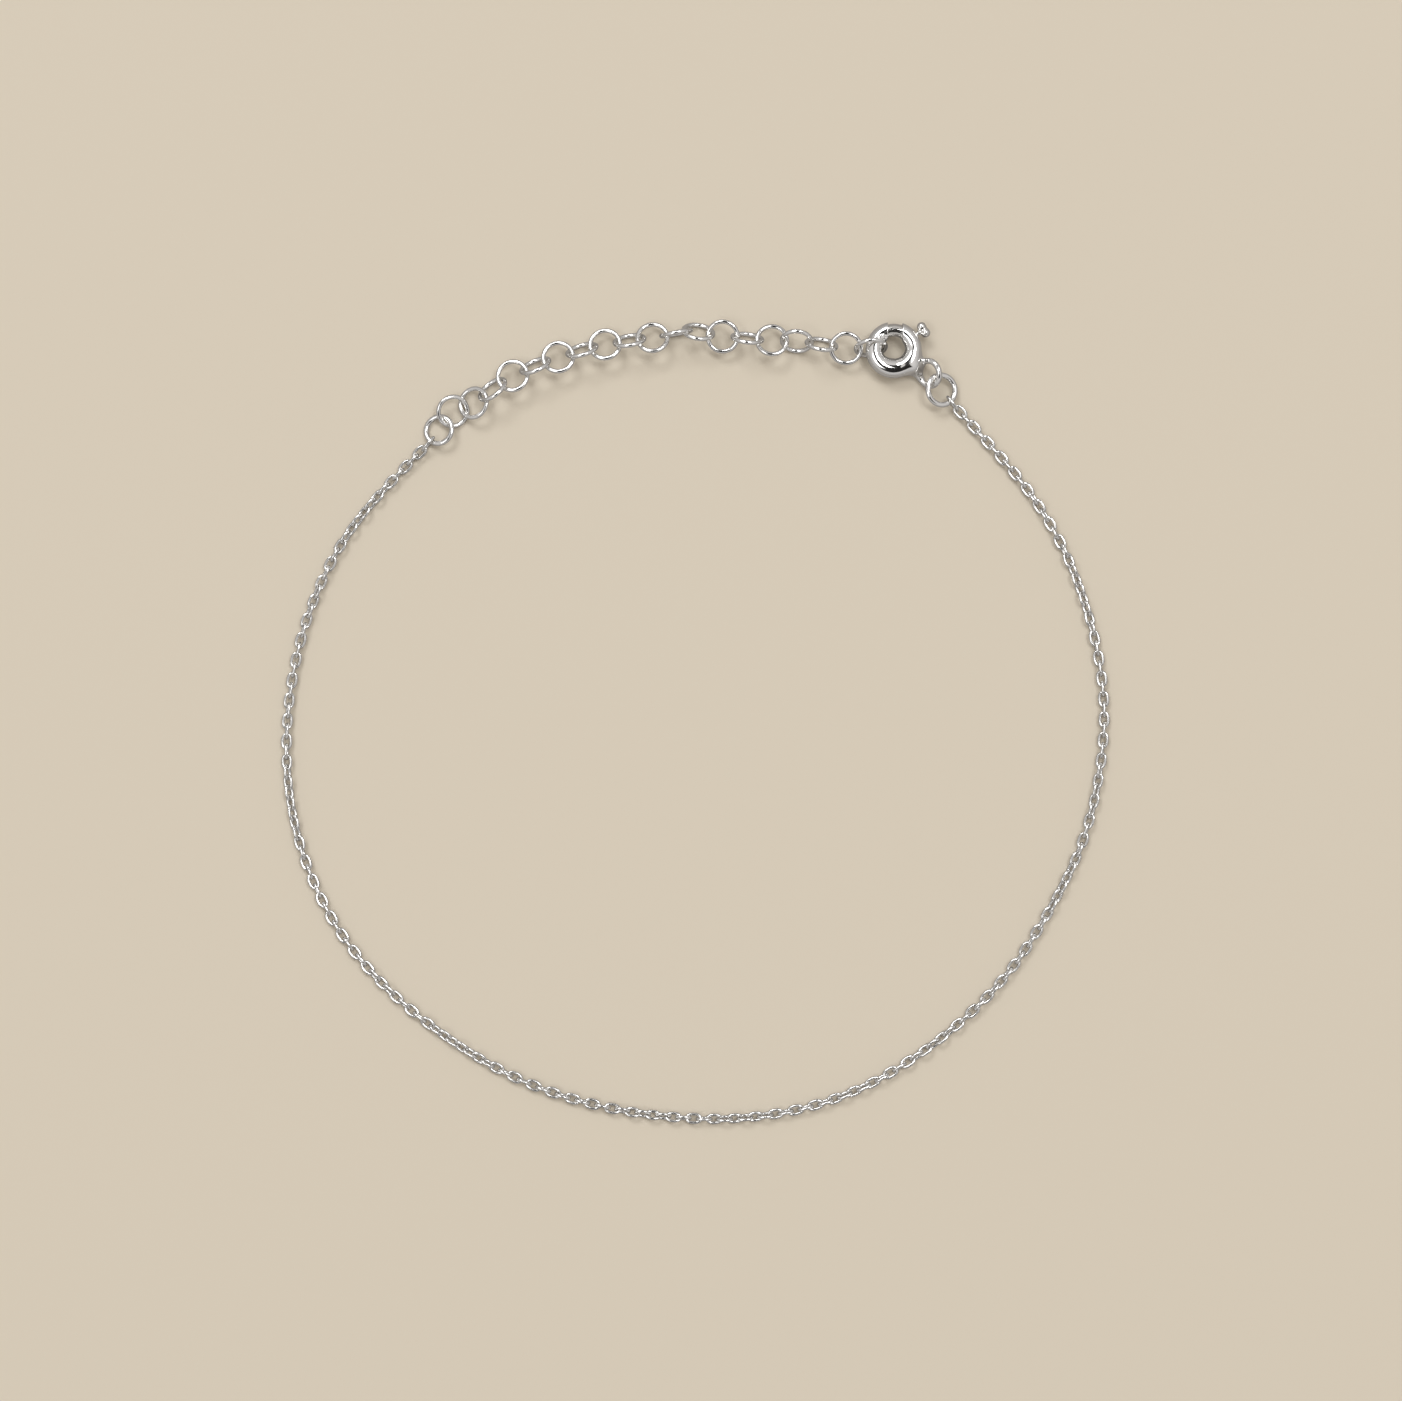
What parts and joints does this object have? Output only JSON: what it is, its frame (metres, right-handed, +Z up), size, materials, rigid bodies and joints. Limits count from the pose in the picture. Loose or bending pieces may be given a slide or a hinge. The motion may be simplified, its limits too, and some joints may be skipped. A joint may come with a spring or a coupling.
{
  "type": "chain anklet",
  "caption": "Slim chain anklet of fine cable links with a round-link extender and a spring-ring clasp, closed and laid down as one loop.",
  "frame": {"origin": "on the surface that the anklet lies on, under the middle of the loop's bounding box", "axes": "+Z up from the surface, through the loop; +Y towards the clasp and the extender; +X to the side where the clasp joins the fine chain"},
  "size_m": [0.0813, 0.0789, 0.0034],
  "materials": {
    "drawn_silver_chain": "bright polished silver links",
    "silver_wire": "bright polished round silver wire",
    "pressed_silver_clasp": "mirror polished silver tube"
  },
  "bodies": {
    "anklet": {"fine_chain": "drawn_silver_chain", "jump_ring_left": "silver_wire", "jump_ring_right": "silver_wire", "clasp_body": "pressed_silver_clasp", "extender_link_01": "silver_wire", "extender_link_02": "silver_wire", "extender_link_03": "silver_wire", "extender_link_04": "silver_wire", "extender_link_05": "silver_wire", "extender_link_06": "silver_wire", "extender_link_07": "silver_wire", "extender_link_08": "silver_wire", "extender_link_09": "silver_wire", "extender_link_10": "silver_wire", "extender_link_11": "silver_wire", "extender_link_12": "silver_wire", "extender_link_13": "silver_wire", "extender_link_14": "silver_wire", "extender_link_15": "silver_wire", "extender_link_16": "silver_wire", "extender_link_17": "silver_wire", "extender_link_18": "silver_wire", "extender_link_19": "silver_wire"},
    "bolt": {"clasp_bolt": "pressed_silver_clasp"}
  },
  "joints": [
    {"name": "bolt_slide", "type": "hinge", "parent": "anklet", "child": "bolt", "pos_m": [0.01936, 0.03638, 0.00139], "axis": [0, 0, 1], "range_deg": [-32, 0], "stiffness_Nm_per_rad": 0.0002, "springref_deg": 17.19}
  ]
}
